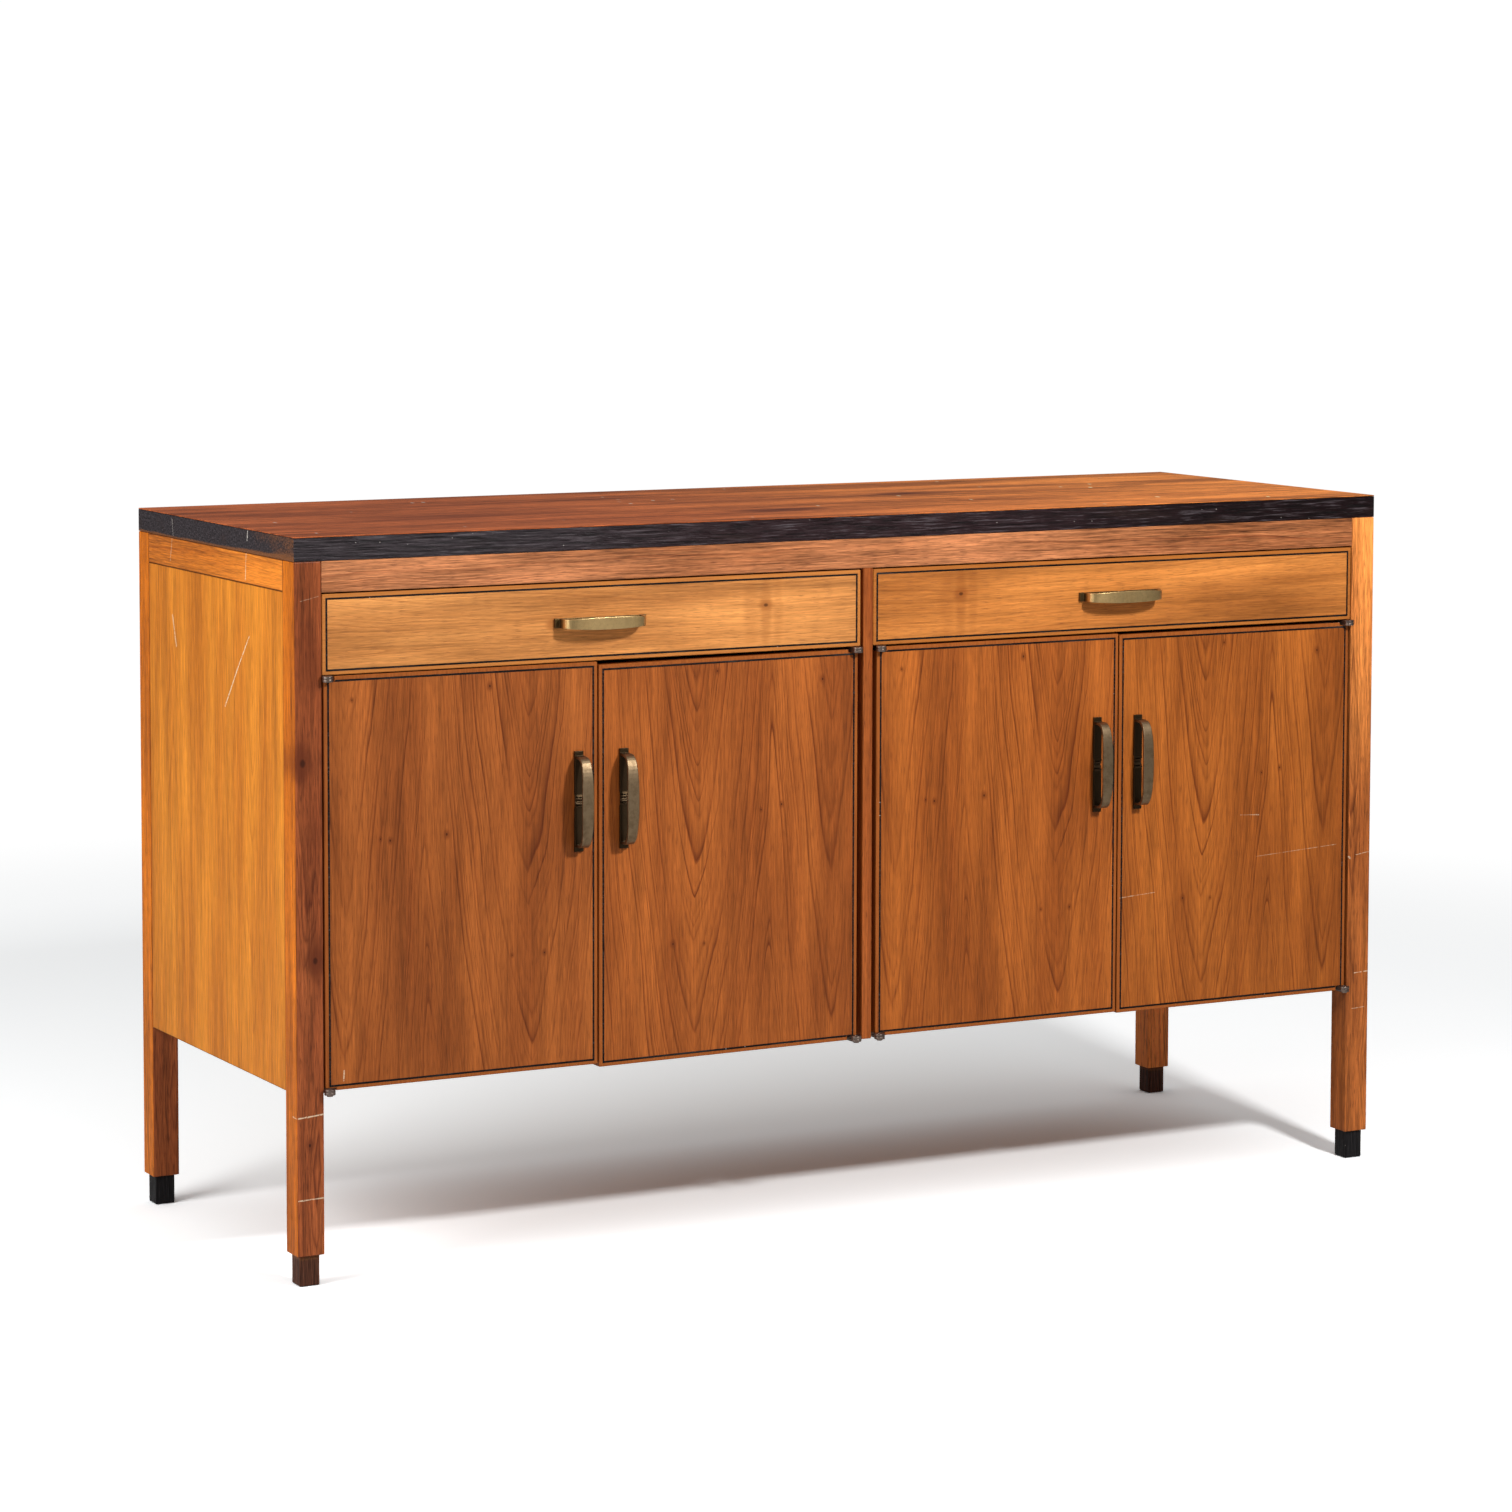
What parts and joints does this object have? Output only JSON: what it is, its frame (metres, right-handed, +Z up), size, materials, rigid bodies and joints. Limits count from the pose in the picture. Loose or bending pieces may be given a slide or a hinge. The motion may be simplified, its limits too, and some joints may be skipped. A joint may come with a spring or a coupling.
{
  "type": "sideboard buffet",
  "caption": "Long low walnut sideboard on square corner posts with small dark feet, drawers under a black-edged top, doors on knife hinges below, and bent brass strap pulls.",
  "frame": {"origin": "on the floor, at the middle of the whole object's box", "axes": "+X to the right along the front, +Y to the back, +Z up"},
  "size_m": [1.51, 0.533, 0.872],
  "materials": {
    "walnut_top": "satin lacquer, scratched",
    "ebonized_wood": "worn black stain, open grain",
    "walnut_panel": "satin lacquer",
    "walnut_side": "satin lacquer, faded",
    "walnut_frame": "satin lacquer",
    "walnut_drawer_front": "satin lacquer",
    "walnut_door": "satin lacquer",
    "maple_inside": "thin sealer",
    "back_plywood": "unfinished",
    "aged_brass": "aged, satin"
  },
  "bodies": {
    "carcass": {"top_core": "walnut_panel", "top_veneer": "walnut_top", "top_edge_band": "ebonized_wood", "front_left_post": "walnut_frame", "front_left_foot": "ebonized_wood", "front_right_post": "walnut_frame", "front_right_foot": "ebonized_wood", "rear_left_post": "walnut_frame", "rear_left_foot": "ebonized_wood", "rear_right_post": "walnut_frame", "rear_right_foot": "ebonized_wood", "left_side_rail": "walnut_frame", "left_side_panel": "walnut_side", "right_side_rail": "walnut_frame", "right_side_panel": "walnut_side", "front_top_rail": "walnut_frame", "centre_stile": "walnut_frame", "centre_partition": "walnut_panel", "bottom_panel": "walnut_panel", "left_drawer_deck": "maple_inside", "right_drawer_deck": "maple_inside", "back_panel": "back_plywood", "left_shelf": "walnut_panel", "right_shelf": "walnut_panel", "door_1_top_frame_leaf": "aged_brass", "door_1_bottom_frame_leaf": "aged_brass", "door_2_top_frame_leaf": "aged_brass", "door_2_bottom_frame_leaf": "aged_brass", "door_3_top_frame_leaf": "aged_brass", "door_3_bottom_frame_leaf": "aged_brass", "door_4_top_frame_leaf": "aged_brass", "door_4_bottom_frame_leaf": "aged_brass"},
    "left_drawer": {"left_drawer_front": "walnut_drawer_front", "left_drawer_left_side": "maple_inside", "left_drawer_right_side": "maple_inside", "left_drawer_back": "maple_inside", "left_drawer_bottom": "maple_inside", "left_drawer_pull": "aged_brass"},
    "right_drawer": {"right_drawer_front": "walnut_drawer_front", "right_drawer_left_side": "maple_inside", "right_drawer_right_side": "maple_inside", "right_drawer_back": "maple_inside", "right_drawer_bottom": "maple_inside", "right_drawer_pull": "aged_brass"},
    "door_1_leaf": {"door_1": "walnut_door", "door_1_pull": "aged_brass", "door_1_top_door_leaf": "aged_brass", "door_1_bottom_door_leaf": "aged_brass"},
    "door_2_leaf": {"door_2": "walnut_door", "door_2_pull": "aged_brass", "door_2_top_door_leaf": "aged_brass", "door_2_bottom_door_leaf": "aged_brass"},
    "door_3_leaf": {"door_3": "walnut_door", "door_3_pull": "aged_brass", "door_3_top_door_leaf": "aged_brass", "door_3_bottom_door_leaf": "aged_brass"},
    "door_4_leaf": {"door_4": "walnut_door", "door_4_pull": "aged_brass", "door_4_top_door_leaf": "aged_brass", "door_4_bottom_door_leaf": "aged_brass"}
  },
  "joints": [
    {"name": "left_drawer_slide", "type": "slide", "parent": "carcass", "child": "left_drawer", "axis": [0, -1, 0], "range_m": [0, 0.33]},
    {"name": "right_drawer_slide", "type": "slide", "parent": "carcass", "child": "right_drawer", "axis": [0, -1, 0], "range_m": [0, 0.33]},
    {"name": "door_1_hinge", "type": "hinge", "parent": "carcass", "child": "door_1_leaf", "pos_m": [-0.7155, -0.243, 0.46875], "axis": [0, 0, -1], "range_deg": [0, 170]},
    {"name": "door_2_hinge", "type": "hinge", "parent": "carcass", "child": "door_2_leaf", "pos_m": [-0.0172, -0.243, 0.46875], "axis": [0, 0, 1], "range_deg": [0, 85]},
    {"name": "door_3_hinge", "type": "hinge", "parent": "carcass", "child": "door_3_leaf", "pos_m": [0.0157, -0.243, 0.46875], "axis": [0, 0, -1], "range_deg": [0, 85]},
    {"name": "door_4_hinge", "type": "hinge", "parent": "carcass", "child": "door_4_leaf", "pos_m": [0.7138, -0.243, 0.46875], "axis": [0, 0, 1], "range_deg": [0, 170]}
  ]
}
